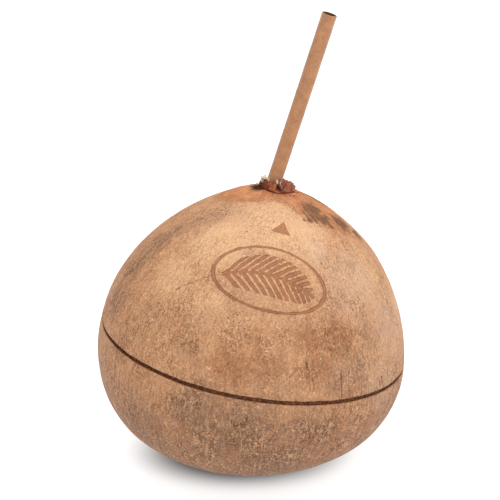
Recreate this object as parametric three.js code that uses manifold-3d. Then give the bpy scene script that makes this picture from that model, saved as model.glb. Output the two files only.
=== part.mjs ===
// A dehusked, polished coconut with a paper straw standing in its drinking hole.
// Millimetres, +Z up. The origin is the middle of the footprint, on the surface that the
// coconut rests on. The coconut leans towards +X, and -Y is its front.
import * as THREE from 'three';
import { mergeVertices } from 'three/addons/utils/BufferGeometryUtils.js';
import Module from 'manifold-3d';

// ---- Coconut body ----
const BODY_WIDTH = 126;
const BODY_HEIGHT = 115.6; // crown to underside, before the flat spot is taken off
const FLAT_SPOT_DEPTH = 0.9; // how much the underside is worn flat where it rests

// Shape of the skin: each is a share of the mean radius.
const SQUASH = -0.043; // below zero, wider than tall
const PEAR = 0.048; // narrow shoulders above, full hips below
const ENDS = 0.007; // draws the crown and the underside out a little
const BELLY_SHIFT = -0.067; // the belly hangs to -X of the crown
const BELLY_SKEW = 0.016; // the hip is lower on the -X side

// ---- Lean of the coconut's own axis ----
const LEAN = 9; // degrees towards +X
const NOD = 1.5; // degrees towards the front
const CROWN_POLAR = 5.9; // degrees from straight up to the drinking hole, towards +X

// ---- Groove scored round the shell ----
const GROOVE_HEIGHT = 52.4; // above the underside, where the groove's plane meets the middle
const GROOVE_WIDTH = 1.5;
const GROOVE_DEPTH = 1.2;

// ---- Collar of husk left round the drinking hole ----
const COLLAR_RADIUS = 6.8;
const COLLAR_HEIGHT = 3.8;
const COLLAR_THIN_WALL = 0.6; // on its -X side, where the hole comes nearest to its outside
const COLLAR_ROOT = 3; // how far it reaches down into the skin
const COLLAR_RAGGEDNESS = 0.5; // rise and fall of its torn rim
const SPLIT_WIDTH = 0.8;
const SPLIT_DEPTH = 3;
const SPLIT_ANGLES = [-165, -106, -50, 25, 110]; // degrees from +X round the collar

// ---- Straw ----
const STRAW_DIAMETER = 5.7;
const STRAW_WALL = 0.4;
const STRAW_LENGTH = 175;
const STRAW_LEAN = 17.6; // degrees towards +X
const STRAW_NOD = 4; // degrees towards the front

// ---- Drinking hole ----
const HOLE_CLEARANCE = 0.3; // round the straw
const END_CLEARANCE = 0.3; // under the straw
const FLESH_UNDER_STRAW = 13.5; // what the hole leaves below the straw, along its axis

// ---- Facets ----
const BODY_SEGMENTS = 64;
const BODY_RINGS = 36;
const ROUND_SEGMENTS = 28;

const UP = new THREE.Vector3(0, 0, 1);
const ORIGIN = new THREE.Vector3(0, 0, 0);

const wasm = await Module();
wasm.setup();

// ---- Solids ----

function toSolid(geometry) {
  const bare = geometry.clone();
  bare.deleteAttribute('normal');
  bare.deleteAttribute('uv');
  const merged = mergeVertices(bare);
  return new wasm.Manifold(new wasm.Mesh({
    numProp: 3,
    vertProperties: new Float32Array(merged.attributes.position.array),
    triVerts: new Uint32Array(merged.index.array),
  }));
}

function toGeometry(solid) {
  const { vertProperties, triVerts } = solid.getMesh();
  const geometry = new THREE.BufferGeometry();
  geometry.setAttribute('position', new THREE.BufferAttribute(vertProperties, 3));
  geometry.setIndex(new THREE.BufferAttribute(triVerts, 1));
  geometry.computeVertexNormals();
  return geometry;
}

// Turns a geometry made along +Z to lie along axis, then moves its origin to place.
function aim(geometry, axis, place) {
  const turn = new THREE.Quaternion().setFromUnitVectors(UP, axis);
  return geometry.applyQuaternion(turn).translate(place.x, place.y, place.z);
}

// A unit direction that leans towards +X and nods towards the front.
function leaningAxis(lean, nod) {
  const across = Math.tan(THREE.MathUtils.degToRad(lean));
  const forward = -Math.tan(THREE.MathUtils.degToRad(nod));
  return new THREE.Vector3(across, forward, 1).normalize();
}

// A cylinder along +Z, from its origin upwards.
function uprightCylinder(radius, height, segments) {
  const cylinder = new THREE.CylinderGeometry(radius, radius, height, segments);
  return cylinder.rotateX(Math.PI / 2).translate(0, 0, height / 2);
}

// ---- Body ----

// Distance from the middle to the skin, as a share of the mean radius.
function skinRadius(polar, azimuth) {
  const round = 1 + SQUASH * Math.cos(2 * polar) + PEAR * Math.cos(3 * polar) + ENDS * Math.cos(6 * polar);
  const sideways = BELLY_SHIFT * Math.sin(polar) + BELLY_SKEW * Math.sin(3 * polar);
  return round + sideways * Math.cos(azimuth);
}

function unitBody() {
  const geometry = new THREE.SphereGeometry(1, BODY_SEGMENTS, BODY_RINGS).rotateX(Math.PI / 2);
  const points = geometry.attributes.position;
  const point = new THREE.Vector3();
  for (let i = 0; i < points.count; i += 1) {
    point.fromBufferAttribute(points, i);
    const polar = Math.acos(THREE.MathUtils.clamp(point.z, -1, 1));
    point.multiplyScalar(skinRadius(polar, Math.atan2(point.y, point.x)));
    points.setXYZ(i, point.x, point.y, point.z);
  }
  return geometry;
}

const unitBox = new THREE.Box3().setFromBufferAttribute(unitBody().attributes.position);
const unitSize = unitBox.getSize(new THREE.Vector3());
const bodyScale = new THREE.Vector3(
  BODY_WIDTH / unitSize.y,
  BODY_WIDTH / unitSize.y,
  BODY_HEIGHT / unitSize.z,
);
const underside = unitBox.min.z * bodyScale.z;

// The body's skin, moved in towards the middle by inset.
function bodyGeometry(inset = 0) {
  const geometry = unitBody().scale(bodyScale.x, bodyScale.y, bodyScale.z);
  const points = geometry.attributes.position;
  const point = new THREE.Vector3();
  for (let i = 0; i < points.count; i += 1) {
    point.fromBufferAttribute(points, i);
    point.setLength(point.length() - inset);
    points.setXYZ(i, point.x, point.y, point.z);
  }
  return geometry;
}

const ownAxis = leaningAxis(LEAN, NOD);

function crownPoint() {
  const polar = THREE.MathUtils.degToRad(CROWN_POLAR);
  const radius = skinRadius(polar, 0);
  return new THREE.Vector3(Math.sin(polar), 0, Math.cos(polar)).multiplyScalar(radius).multiply(bodyScale);
}

const crown = crownPoint();

function grooveCutter() {
  const disc = uprightCylinder(BODY_WIDTH, GROOVE_WIDTH, BODY_SEGMENTS).translate(0, 0, -GROOVE_WIDTH / 2);
  const middle = new THREE.Vector3(0, 0, underside + GROOVE_HEIGHT);
  return toSolid(aim(disc, ownAxis, middle)).subtract(toSolid(bodyGeometry(GROOVE_DEPTH)));
}

function flatSpotCutter() {
  const block = new THREE.BoxGeometry(BODY_WIDTH, BODY_WIDTH, BODY_HEIGHT);
  return toSolid(block.translate(0, 0, underside + FLAT_SPOT_DEPTH - BODY_HEIGHT / 2));
}

// ---- Collar ----

// Height of the torn rim at an angle round the collar.
function rimHeight(angle) {
  return COLLAR_HEIGHT + COLLAR_RAGGEDNESS * (Math.sin(3 * angle + 0.5) + 0.6 * Math.sin(7 * angle));
}

function collarGeometry() {
  const profile = [
    new THREE.Vector2(0, -COLLAR_ROOT),
    new THREE.Vector2(COLLAR_RADIUS, -COLLAR_ROOT),
    new THREE.Vector2(COLLAR_RADIUS, 0),
    new THREE.Vector2(COLLAR_RADIUS - 0.2, COLLAR_HEIGHT - 0.8),
    new THREE.Vector2(COLLAR_RADIUS - 0.9, COLLAR_HEIGHT),
    new THREE.Vector2(0, COLLAR_HEIGHT),
  ];
  const geometry = new THREE.LatheGeometry(profile, ROUND_SEGMENTS).rotateX(Math.PI / 2);
  const points = geometry.attributes.position;
  for (let i = 0; i < points.count; i += 1) {
    const distance = Math.hypot(points.getX(i), points.getY(i));
    if (points.getZ(i) > 0 && distance > 1) {
      const angle = Math.atan2(points.getY(i), points.getX(i));
      points.setZ(i, points.getZ(i) * rimHeight(angle) / COLLAR_HEIGHT);
    }
  }
  return geometry;
}

function splitCutter(degrees) {
  const length = COLLAR_RADIUS * 2;
  const block = new THREE.BoxGeometry(length, SPLIT_WIDTH, SPLIT_DEPTH * 2);
  block.translate(length / 2, 0, COLLAR_HEIGHT);
  return toSolid(aim(block.rotateZ(THREE.MathUtils.degToRad(degrees)), ownAxis, crown));
}

// ---- Drinking hole ----

const strawAxis = leaningAxis(STRAW_LEAN, STRAW_NOD);
const holeRadius = STRAW_DIAMETER / 2 + HOLE_CLEARANCE;

// Where the straw's axis crosses the skin, off the collar's middle towards -X.
const entry = crown.clone();
entry.x -= COLLAR_RADIUS - COLLAR_THIN_WALL - holeRadius;

// Where the straw's axis leaves the underside of the coconut.
function axisExit() {
  const below = entry.clone().addScaledVector(strawAxis, -(BODY_WIDTH + BODY_HEIGHT));
  const skin = new THREE.Mesh(bodyGeometry());
  return new THREE.Raycaster(below, strawAxis).intersectObject(skin)[0].point;
}

const holeEnd = axisExit().addScaledVector(strawAxis, FLESH_UNDER_STRAW);

function holeCutter() {
  const length = holeEnd.distanceTo(entry) + 2 * (COLLAR_HEIGHT + COLLAR_RADIUS);
  return toSolid(aim(uprightCylinder(holeRadius, length, ROUND_SEGMENTS), strawAxis, holeEnd));
}

// ---- Pieces ----

function makeCoconut() {
  const collar = toSolid(aim(collarGeometry(), ownAxis, crown));
  let solid = toSolid(bodyGeometry()).subtract(grooveCutter()).subtract(flatSpotCutter());
  solid = SPLIT_ANGLES.reduce((torn, degrees) => torn.subtract(splitCutter(degrees)), collar).add(solid);
  const material = new THREE.MeshStandardMaterial({ color: 0xc39468, roughness: 0.6, metalness: 0 });
  const mesh = new THREE.Mesh(toGeometry(solid.subtract(holeCutter())), material);
  mesh.name = 'coconut';
  return mesh;
}

function makeStraw() {
  const outer = STRAW_DIAMETER / 2;
  const inner = outer - STRAW_WALL;
  const section = [
    new THREE.Vector2(inner, 0),
    new THREE.Vector2(outer, 0),
    new THREE.Vector2(outer, STRAW_LENGTH),
    new THREE.Vector2(inner, STRAW_LENGTH),
    new THREE.Vector2(inner, 0),
  ];
  const tube = new THREE.LatheGeometry(section, ROUND_SEGMENTS).rotateX(Math.PI / 2);
  const foot = holeEnd.clone().addScaledVector(strawAxis, END_CLEARANCE);
  const material = new THREE.MeshStandardMaterial({ color: 0xc9976a, roughness: 0.8, metalness: 0 });
  const mesh = new THREE.Mesh(aim(tube, strawAxis, ORIGIN), material);
  mesh.position.copy(foot);
  mesh.name = 'straw';
  return mesh;
}

const object = new THREE.Group();
object.add(makeCoconut(), makeStraw());

// Stand the object on the plane z = 0, with its box centred on the origin.
const box = new THREE.Box3().setFromObject(object, true);
const middle = box.getCenter(new THREE.Vector3());
object.position.set(-middle.x, -middle.y, -box.min.z);

export default object;
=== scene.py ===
"""A dehusked drinking coconut with a paper straw standing in it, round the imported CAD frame.

Metres, +Z up, the front towards -Y. The sizes repeat those of the CAD source.
"""
import random
from math import cos, pi, radians, sin, tan

import bpy
import numpy as np
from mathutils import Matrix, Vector, noise
from numpy.linalg import norm


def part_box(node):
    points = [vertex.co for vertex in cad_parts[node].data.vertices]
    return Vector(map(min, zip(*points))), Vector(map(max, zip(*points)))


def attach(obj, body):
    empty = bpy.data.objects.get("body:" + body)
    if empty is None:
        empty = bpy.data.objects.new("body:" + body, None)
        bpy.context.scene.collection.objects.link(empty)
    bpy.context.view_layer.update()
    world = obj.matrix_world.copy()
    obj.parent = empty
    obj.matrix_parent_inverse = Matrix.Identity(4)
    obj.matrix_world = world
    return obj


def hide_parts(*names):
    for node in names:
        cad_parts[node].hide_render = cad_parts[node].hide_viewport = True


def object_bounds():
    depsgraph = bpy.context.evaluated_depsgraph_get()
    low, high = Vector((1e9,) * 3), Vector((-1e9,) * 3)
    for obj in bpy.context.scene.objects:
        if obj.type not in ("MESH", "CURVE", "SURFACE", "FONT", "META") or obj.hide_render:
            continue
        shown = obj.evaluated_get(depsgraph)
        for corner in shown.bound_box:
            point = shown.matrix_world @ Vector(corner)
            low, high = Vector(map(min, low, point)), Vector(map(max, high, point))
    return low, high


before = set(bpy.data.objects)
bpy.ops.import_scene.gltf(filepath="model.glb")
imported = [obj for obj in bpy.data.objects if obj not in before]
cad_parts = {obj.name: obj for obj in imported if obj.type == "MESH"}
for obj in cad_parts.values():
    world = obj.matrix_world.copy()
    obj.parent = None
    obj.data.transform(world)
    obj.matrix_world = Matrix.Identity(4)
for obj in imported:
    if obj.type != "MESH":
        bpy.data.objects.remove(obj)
cad_low, cad_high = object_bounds()

MM = 0.001

# ---- Sizes shared with the CAD source ----
BODY_WIDTH = 126 * MM
BODY_HEIGHT = 115.6 * MM
FLAT_SPOT_DEPTH = 0.9 * MM
SQUASH, PEAR, ENDS = -0.043, 0.048, 0.007
BELLY_SHIFT, BELLY_SKEW = -0.067, 0.016
LEAN, NOD = radians(9), radians(1.5)
CROWN_POLAR = radians(5.9)
GROOVE_HEIGHT = 52.4 * MM
GROOVE_WIDTH = 1.5 * MM
GROOVE_DEPTH = 1.2 * MM
COLLAR_RADIUS = 6.8 * MM
COLLAR_THIN_WALL = 0.6 * MM
COLLAR_HEIGHT = 3.8 * MM
STRAW_RADIUS = 3 * MM
STRAW_WALL = 0.4 * MM
STRAW_LENGTH = 176 * MM
STRAW_LEAN, STRAW_NOD = radians(17.1), radians(4)
HOLE_CLEARANCE = 0.3 * MM
FLESH_UNDER_STRAW = 13.5 * MM

# ---- Camera ----
LENS = 105.3  # mm
SENSOR = 36.0  # mm
VIEW_ELEVATION = radians(18)
VIEW_DISTANCE = 0.5893
AIM_RIGHT = -0.5 * MM
AIM_HEIGHT = 88.5 * MM

rng = random.Random(11)


# ---- Shape ----

def leaning_axis(lean, nod):
    axis = np.array([tan(lean), -tan(nod), 1.0])
    return axis / norm(axis)


def skin_radius(polar, azimuth):
    """Distance from the middle to the skin, as a share of the mean radius."""
    round_part = 1 + SQUASH * np.cos(2 * polar) + PEAR * np.cos(3 * polar) + ENDS * np.cos(6 * polar)
    sideways = BELLY_SHIFT * np.sin(polar) + BELLY_SKEW * np.sin(3 * polar)
    return round_part + sideways * np.cos(azimuth)


def body_scale():
    """Scale of the unit shape, its lowest point and the middle of its width, in metres."""
    polar = np.linspace(0, pi, 361)[:, None]
    azimuth = np.linspace(0, 2 * pi, 361)[None]
    radius = skin_radius(polar, azimuth)
    x = radius * np.sin(polar) * np.cos(azimuth)
    y = radius * np.sin(polar) * np.sin(azimuth)
    z = radius * np.cos(polar)
    across = BODY_WIDTH / np.ptp(y)
    tall = BODY_HEIGHT / np.ptp(z)
    return np.array([across, across, tall]), z.min() * tall, (x.max() + x.min()) / 2 * across


SCALE, UNDERSIDE, MIDDLE_X = body_scale()
nut_low, nut_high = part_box("coconut")
MIDDLE = np.array([
    (nut_low.x + nut_high.x) / 2 - MIDDLE_X,
    (nut_low.y + nut_high.y) / 2,
    nut_low.z - UNDERSIDE - FLAT_SPOT_DEPTH,
])

# The crown's own directions: up through the drinking hole, azimuth 0 and azimuth 90.
CROWN_UP = np.array([sin(CROWN_POLAR), 0, cos(CROWN_POLAR)])
CROWN_X = np.array([cos(CROWN_POLAR), 0, -sin(CROWN_POLAR)])
CROWN_Y = np.array([0.0, 1.0, 0.0])
OWN_AXIS = leaning_axis(LEAN, NOD)
STRAW_AXIS = leaning_axis(STRAW_LEAN, STRAW_NOD)
HOLE_RADIUS = STRAW_RADIUS + HOLE_CLEARANCE


def skin_towards(directions):
    """Points of the plain skin, from the middle, along unit directions."""
    scaled = directions / SCALE
    scaled = scaled / norm(scaled, axis=-1, keepdims=True)
    polar = np.arccos(np.clip(scaled[..., 2], -1, 1))
    azimuth = np.arctan2(scaled[..., 1], scaled[..., 0])
    return skin_radius(polar, azimuth)[..., None] * scaled * SCALE


def round_crown(azimuth):
    """Unit directions square to CROWN_UP."""
    return np.cos(azimuth)[..., None] * CROWN_X + np.sin(azimuth)[..., None] * CROWN_Y


def round_axis(axis, azimuth):
    """Unit directions square to another axis."""
    flat = round_crown(azimuth)
    side = flat - (flat @ axis)[..., None] * axis
    return side / norm(side, axis=-1, keepdims=True)


def crown_skin(polar, azimuth):
    """Points of the plain skin at a polar angle from the crown and an azimuth round it."""
    polar, azimuth = np.broadcast_arrays(polar, azimuth)
    return skin_towards(np.cos(polar)[..., None] * CROWN_UP + np.sin(polar)[..., None] * round_crown(azimuth))


CROWN = crown_skin(0.0, 0.0)
CROWN_RADIUS = norm(CROWN)
ENTRY = CROWN - np.array([COLLAR_RADIUS - COLLAR_THIN_WALL - HOLE_RADIUS, 0, 0])


def hole_end():
    """Where the blind hole stops, above the point where its axis leaves the underside."""
    near, far = 0.0, BODY_HEIGHT * 2
    for _ in range(50):
        half = (near + far) / 2
        point = ENTRY - half * STRAW_AXIS
        inside = norm(point) < norm(skin_towards(point / norm(point)))
        near, far = (half, far) if inside else (near, half)
    return ENTRY - (near - FLESH_UNDER_STRAW) * STRAW_AXIS


HOLE_END = hole_end()


def smooth(low, high, value):
    """0 below low, 1 above high, eased between."""
    share = np.clip((value - low) / (high - low), 0, 1)
    return share * share * (3 - 2 * share)


def noise_at(points, size, seed=0.0):
    """Perlin noise, about -1 to 1, with features of a size, at an array of points."""
    flat = points.reshape(-1, 3) / size + seed
    values = np.array([noise.noise(Vector(p)) for p in flat])
    return values.reshape(points.shape[:-1])


def spaced(stretches):
    """Angles in radians from stretches of (start, end, step) in degrees, without the last end."""
    parts = [np.linspace(a, b, round((b - a) / step), endpoint=False) for a, b, step in stretches]
    return np.radians(np.concatenate(parts))


# ---- Burned mark: an oval ring round a palm frond, and a plain arrow towards the drinking hole ----

MARK_POLAR, MARK_AZIMUTH, MARK_TURN = radians(49.4), radians(-92.3), radians(-8)
MARK_HALF_WIDTH, MARK_HALF_HEIGHT = 21.5, 12.8
MARK_RING_WIDTH = 0.75
FROND_HALF_LENGTH, FROND_HALF_HEIGHT = 17.5, 8.2
FROND_PITCH, FROND_SLANT, LEAFLET_SHARE = 3.1, 0.95, 0.5
SPINE_HALF_WIDTH = 0.5
ARROW_TOP, ARROW_BASE, ARROW_HALF_WIDTH = 26.3, 20.6, 3.6
ARROW_ACROSS = -0.4


def mark_frame():
    """The mark's middle, and its directions across, up and out, in the row frame."""
    step = 0.01
    middle = crown_skin(MARK_POLAR, MARK_AZIMUTH)
    east = crown_skin(MARK_POLAR, MARK_AZIMUTH + step) - crown_skin(MARK_POLAR, MARK_AZIMUTH - step)
    south = crown_skin(MARK_POLAR + step, MARK_AZIMUTH) - crown_skin(MARK_POLAR - step, MARK_AZIMUTH)
    out = np.cross(south, east)
    out /= norm(out)
    east /= norm(east)
    north = np.cross(out, east)
    across = cos(MARK_TURN) * east + sin(MARK_TURN) * north
    return MIDDLE + middle, across, np.cross(out, across), out


MARK_MIDDLE, MARK_ACROSS, MARK_UP, MARK_OUT = mark_frame()


# ---- Coconut mesh ----

AZIMUTHS = spaced([(-180, -134, 1.6), (-134, -52, 0.46), (-52, 180, 1.6)])
UPPER_END = 85  # degrees
UPPER_POLARS = spaced([(0, 16, 0.55), (16, 62, 0.46), (62, UPPER_END, 0.9)])
LOWER_SHARES = np.linspace(0, 1, 74)[1:-1]
GROOVE_STATIONS = MM * np.array([  # from the middle of the cut, downwards
    -2, -1.3, -1, -0.86, -0.79, -0.7, -0.6, -0.3, 0, 0.3, 0.6, 0.7, 0.79, 0.86, 1, 1.3, 2,
])
GROOVE_LIFT = 3 * MM  # how far the cut strays upwards on the -X side
FAR_FROM_GROOVE = 1.0

COLLAR_OUTLINE = [  # azimuth in degrees, radius of the root and height of the rim in mm
    (-180, 6.6, 3.1), (-165, 6.4, 3.3), (-150, 6.2, 3.4), (-131, 6.0, 3.6), (-107, 6.1, 3.8),
    (-87, 5.7, 4.3), (-65, 5.1, 4.2), (-42, 4.8, 4.0), (-18, 5.0, 3.2), (0, 5.9, 2.9), (12, 6.8, 2.6),
    (35, 6.8, 2.4), (60, 6.6, 2.5), (90, 6.5, 2.4), (135, 6.5, 2.6), (180, 6.6, 3.1),
]
SPLITS = [(-166, 4), (-96, 13), (-20, 5), (48, 4), (112, 6)]  # azimuth and half width in degrees


def polar_at_height(offset):
    """Polar angle, at each azimuth, of the skin that lies offset above the groove's plane."""
    low = np.full(len(AZIMUTHS), radians(60))
    high = np.full(len(AZIMUTHS), radians(120))
    from_minus_x = pi - np.abs(AZIMUTHS)
    lift = GROOVE_LIFT * smooth(radians(14), radians(2), from_minus_x)
    level = (UNDERSIDE + GROOVE_HEIGHT) * OWN_AXIS[2] + offset + lift
    for _ in range(40):
        half = (low + high) / 2
        above = crown_skin(half, AZIMUTHS) @ OWN_AXIS > level
        low = np.where(above, half, low)
        high = np.where(above, high, half)
    return (low + high) / 2


def collar_outline(azimuth):
    """Radius of the collar's root and height of its rim, in metres."""
    angles, radii, heights = zip(*COLLAR_OUTLINE)
    turned = np.degrees(azimuth)
    return np.interp(turned, angles, radii) * MM, np.interp(turned, angles, heights) * MM


ROOT_RADII, RIM_HEIGHTS = collar_outline(AZIMUTHS)
ROOT_POLARS = ROOT_RADII / CROWN_RADIUS
ROOT_STATIONS = np.array([0, 0.12, 0.24, 0.36, 0.5, 0.7, 0.95]) * MM


def skin_polars():
    """Polar angles of the skin's rings, from the collar's root to near the bottom pole, and how far each
    ring lies below the middle of the groove."""
    groove = np.array([polar_at_height(-offset) for offset in GROOVE_STATIONS])
    root = ROOT_POLARS + ROOT_STATIONS[:, None] / CROWN_RADIUS
    start = root[-1] + radians(0.4)
    upper_share = (UPPER_POLARS / np.radians(UPPER_END))[:, None]
    upper = start + upper_share * (groove[0] - start)
    lower = groove[-1] + LOWER_SHARES[:, None] * (pi - groove[-1])
    before = np.full(len(root) + len(upper), FAR_FROM_GROOVE)
    after = np.full(len(lower), FAR_FROM_GROOVE)
    return np.concatenate([root, upper, groove, lower]), np.concatenate([before, GROOVE_STATIONS, after])


HUSK_EDGE = [  # azimuth round the crown and how far down the husk reaches there, in degrees
    (-180, 25), (-150, 19), (-124, 14), (-100, 11.5), (-84, 11.8), (-72, 14), (-58, 20), (-45, 25),
    (-28, 31), (-10, 33), (15, 27), (50, 19), (90, 14), (135, 18), (180, 25),
]


def husk_field(polar, azimuth):
    """Above zero where a skin of husk is left round the crown, in degrees inside its edge."""
    angles, edges = zip(*HUSK_EDGE)
    edge = np.interp(np.degrees(azimuth), angles, edges)
    return edge - np.degrees(polar)


def split_field(azimuth):
    """1 in the splits of the collar, 0 on its chunks."""
    found = np.zeros_like(azimuth)
    for split, half_width in SPLITS:
        away = np.abs((np.degrees(azimuth) - split + 180) % 360 - 180)
        found = np.maximum(found, smooth(half_width, 0.55 * half_width, away))
    return found


def above_root(points):
    """0 at the collar's root and 1 a little above it."""
    return smooth(0.3 * MM, 1.3 * MM, (points - CROWN) @ OWN_AXIS)


WALL = [  # share of the root's radius and of the rim's height, from the rim down to the root
    (0.82, 1.0), (0.90, 0.96), (0.955, 0.88), (0.985, 0.77), (1.0, 0.66), (1.0, 0.55), (1.0, 0.43),
    (1.01, 0.31), (1.02, 0.2), (1.02, 0.12), (1.01, 0.06), (1.0, 0.0),
]
RIM_SHARES = (0.12, 0.25, 0.4, 0.55, 0.7, 0.85, 1.0)
HOLE_SHARES = (0, 0.002, 0.4, 0.8, 0.92, 0.95, 0.97, 0.985, 1.0)
HUSK_ON_COLLAR, NO_HUSK = 12.0, -90.0


def hole_and_collar():
    """Rings of the blind hole and the collar, from the hole's end up, over the rim and down to the skin.
    Each is its points from the middle, how much painted shade the hole puts on it, how far on the collar and
    how near its root, which sets the crease's painted shade."""
    out = round_axis(STRAW_AXIS, AZIMUTHS)
    side = round_axis(OWN_AXIS, AZIMUTHS)
    split = split_field(AZIMUTHS)
    tatter = 0.45 * MM * noise_at(side, 0.16, 7.7) + 0.5 * MM * noise_at(side, 0.45, 3.1)
    height = RIM_HEIGHTS + tatter
    depth = norm(ENTRY - HOLE_END)
    rings = [
        (HOLE_END + share * depth * STRAW_AXIS + HOLE_RADIUS * out, 1.0, 0.0, 0.0) for share in HOLE_SHARES
    ]
    inner_root = ENTRY + (COLLAR_HEIGHT * 0.3) * STRAW_AXIS + HOLE_RADIUS * out
    inner_top = ENTRY + (0.62 * height)[:, None] * STRAW_AXIS + (HOLE_RADIUS + 0.25 * MM) * out
    rings.append((inner_root, 0.8, 1.0, 0.0))
    rings.append((inner_top, 0.5, 1.0, 0.0))
    reach, level = WALL[0]
    rim = CROWN + side * (ROOT_RADII * reach)[:, None] + OWN_AXIS * (height * level)[:, None]
    for share in RIM_SHARES:
        between = inner_top + share * (rim - inner_top)
        crest = (1.1 - share) * sin(pi * min(1, share * 1.2)) * 0.8 * MM
        rough = 0.45 * MM * noise_at(between, 1.1 * MM, 5.5) * sin(pi * share)
        rings.append((between + (crest + rough)[:, None] * OWN_AXIS, 0.25 * (1 - share), 1.0, 0.0))
    root = crown_skin(ROOT_POLARS, AZIMUTHS)
    for reach, level in WALL:
        plain = root + side * (ROOT_RADII * (reach - 1))[:, None] + OWN_AXIS * (height * level)[:, None]
        torn = 0.28 * MM * noise_at(plain, 1.6 * MM, 9.2) + 0.14 * MM * noise_at(plain, 0.6 * MM, 2.2)
        fade = min(1, 5 * level)
        rings.append((plain + side * (torn * fade)[:, None], 0.0, 1.0, max(0.0, 1 - 9 * level)))
    torn_rings = []
    for points, hole, collar, crease in rings:
        if collar > 0:
            # Splits sink the rim and draw the wall in towards the hole.
            up = (points - CROWN) @ OWN_AXIS
            sink = split * np.clip(up - 0.5 * MM, 0, None) * 0.8
            inwards = split * 1.7 * MM * smooth(0.2 * MM, 1.2 * MM, up)
            points = points - OWN_AXIS * sink[:, None] - side * inwards[:, None]
        torn_rings.append((points, hole, collar, crease))
    return torn_rings


def mesh_object(name, points, faces, attributes=()):
    mesh = bpy.data.meshes.new(name)
    mesh.from_pydata([tuple(p) for p in points], [], faces)
    for key, values in attributes:
        values = np.asarray(values, float)
        kind, field = ("FLOAT_VECTOR", "vector") if values.ndim == 2 else ("FLOAT", "value")
        layer = mesh.attributes.new(key, kind, "POINT")
        layer.data.foreach_set(field, values.astype(np.float32).ravel())
    mesh.shade_smooth()
    piece = bpy.data.objects.new(name, mesh)
    bpy.context.scene.collection.objects.link(piece)
    return piece


def tube_faces(rings, count, closed=False):
    """Quads between rings of count points; closed joins the last ring to the first."""
    faces = []
    for ring in range(rings if closed else rings - 1):
        here, there = ring * count, (ring + 1) % rings * count
        for i in range(count):
            j = (i + 1) % count
            faces.append((here + i, here + j, there + j, there + i))
    return faces


def nut_faces(rings, count):
    """Quads between the nut's rings, with a fan to a pole point at each end."""
    faces = [(a, d, c, b) for a, b, c, d in tube_faces(rings, count)]
    first, last = rings * count, rings * count + 1
    for i in range(count):
        j = (i + 1) % count
        faces.append((first, i, j))
        faces.append((last, (rings - 1) * count + j, (rings - 1) * count + i))
    return faces


def make_coconut():
    """The whole nut as one closed mesh: hole, collar, skin, groove and flat spot."""
    count = len(AZIMUTHS)
    top = hole_and_collar()
    polars, offsets = skin_polars()
    skin = crown_skin(polars, AZIMUTHS[None])
    outward = skin / norm(skin, axis=-1, keepdims=True)
    below = np.degrees(polars)
    from_root = (polars - ROOT_POLARS) * CROWN_RADIUS

    # Gentle dents, the fine unevenness of the fibres and the husk left round the crown.
    shape = 0.22 * MM * noise_at(skin, 17 * MM, 4.0) + 0.07 * MM * noise_at(skin, 4 * MM, 8.0)
    edge = husk_field(polars, AZIMUTHS[None])
    ragged = edge + 1.6 * noise_at(skin, 3 * MM, 5.0)
    shape += 0.25 * MM * smooth(-0.4, 0.5, ragged)

    # The shoulders on both sides of the collar are a little hollow.
    sides = (0.75 - 0.25 * np.cos(AZIMUTHS)) * np.cos(AZIMUTHS) ** 2
    shape -= sides * MM * smooth(6, 13, below) * smooth(40, 15, below)

    # The scored groove, with slightly uneven edges.
    wander = 0.07 * MM * noise_at(skin, 2.2 * MM, 1.0)
    half_width = GROOVE_WIDTH / 2 + 0.06 * MM + wander
    inside = smooth(-0.09 * MM, 0.09 * MM, half_width - np.abs(offsets)[:, None])
    shape -= GROOVE_DEPTH * inside * (1 + 0.12 * noise_at(skin, 1.5 * MM, 6.0))
    shape *= smooth(0, 1.5 * MM, from_root)

    # A crease runs round the collar's root.
    crease = smooth(0.55 * MM, 0, from_root)
    shape -= 0.3 * MM * crease * smooth(0, 0.12 * MM, from_root)
    skin = skin + outward * shape[..., None]
    skin[..., 2] = np.maximum(skin[..., 2], UNDERSIDE + FLAT_SPOT_DEPTH)

    points = [ring for ring, _, _, _ in top] + list(skin)
    rings = len(points)
    collar_rings = len(top)
    bottom = np.array([crown_skin(pi, 0.0)])
    bottom[0, 2] = UNDERSIDE + FLAT_SPOT_DEPTH
    points = np.concatenate([np.concatenate(points), [HOLE_END], bottom])

    def per_point(collar_values, skin_values, end, foot):
        rows = [np.full(count, v) if np.isscalar(v) else v for v in collar_values]
        return np.concatenate([*rows, skin_values.ravel(), [end, foot]])

    equator = BODY_WIDTH / 2
    collar_arcs = [-(collar_rings - i) * 0.5 * MM for i in range(collar_rings)]
    arc = per_point(collar_arcs, polars * equator, 0, 3 * equator)
    turn = np.concatenate([np.tile(AZIMUTHS, rings), [0, 0]])
    fibre = np.stack([equator * np.cos(turn), equator * np.sin(turn), arc], -1)
    zeros = np.zeros_like(polars)
    split = split_field(AZIMUTHS)
    attributes = [
        ("fibre", fibre),
        ("husk", per_point([HUSK_ON_COLLAR] * collar_rings, edge, HUSK_ON_COLLAR, NO_HUSK)),
        ("groove", per_point([0.0] * collar_rings, inside, 0.0, 0.0)),
        ("collar", per_point([r[2] for r in top], smooth(0.25 * MM, 0, from_root), 0.0, 0.0)),
        # Painted shade along the crease at the collar's root.
        ("crease", per_point([r[3] for r in top], crease, 0.0, 0.0)),
        # Painted shade: the hole and the inside of the collar darken with depth.
        ("hole", per_point([r[1] for r in top], zeros, 1.0, 0.0)),
        # Painted shade in the splits between the collar's chunks.
        ("split", per_point([split * above_root(r[0]) * r[2] for r in top], zeros, 0.0, 0.0)),
    ]
    piece = mesh_object("coconut_body", points + MIDDLE, nut_faces(rings, count), attributes)
    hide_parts("coconut")
    return piece


# ---- Torn husk: shards that stand on the collar's rim, and loose fibres ----

def collar_point(azimuth, radius, height):
    """A point round the collar, in the row frame."""
    return MIDDLE + CROWN + round_axis(OWN_AXIS, azimuth) * radius + OWN_AXIS * height


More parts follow.
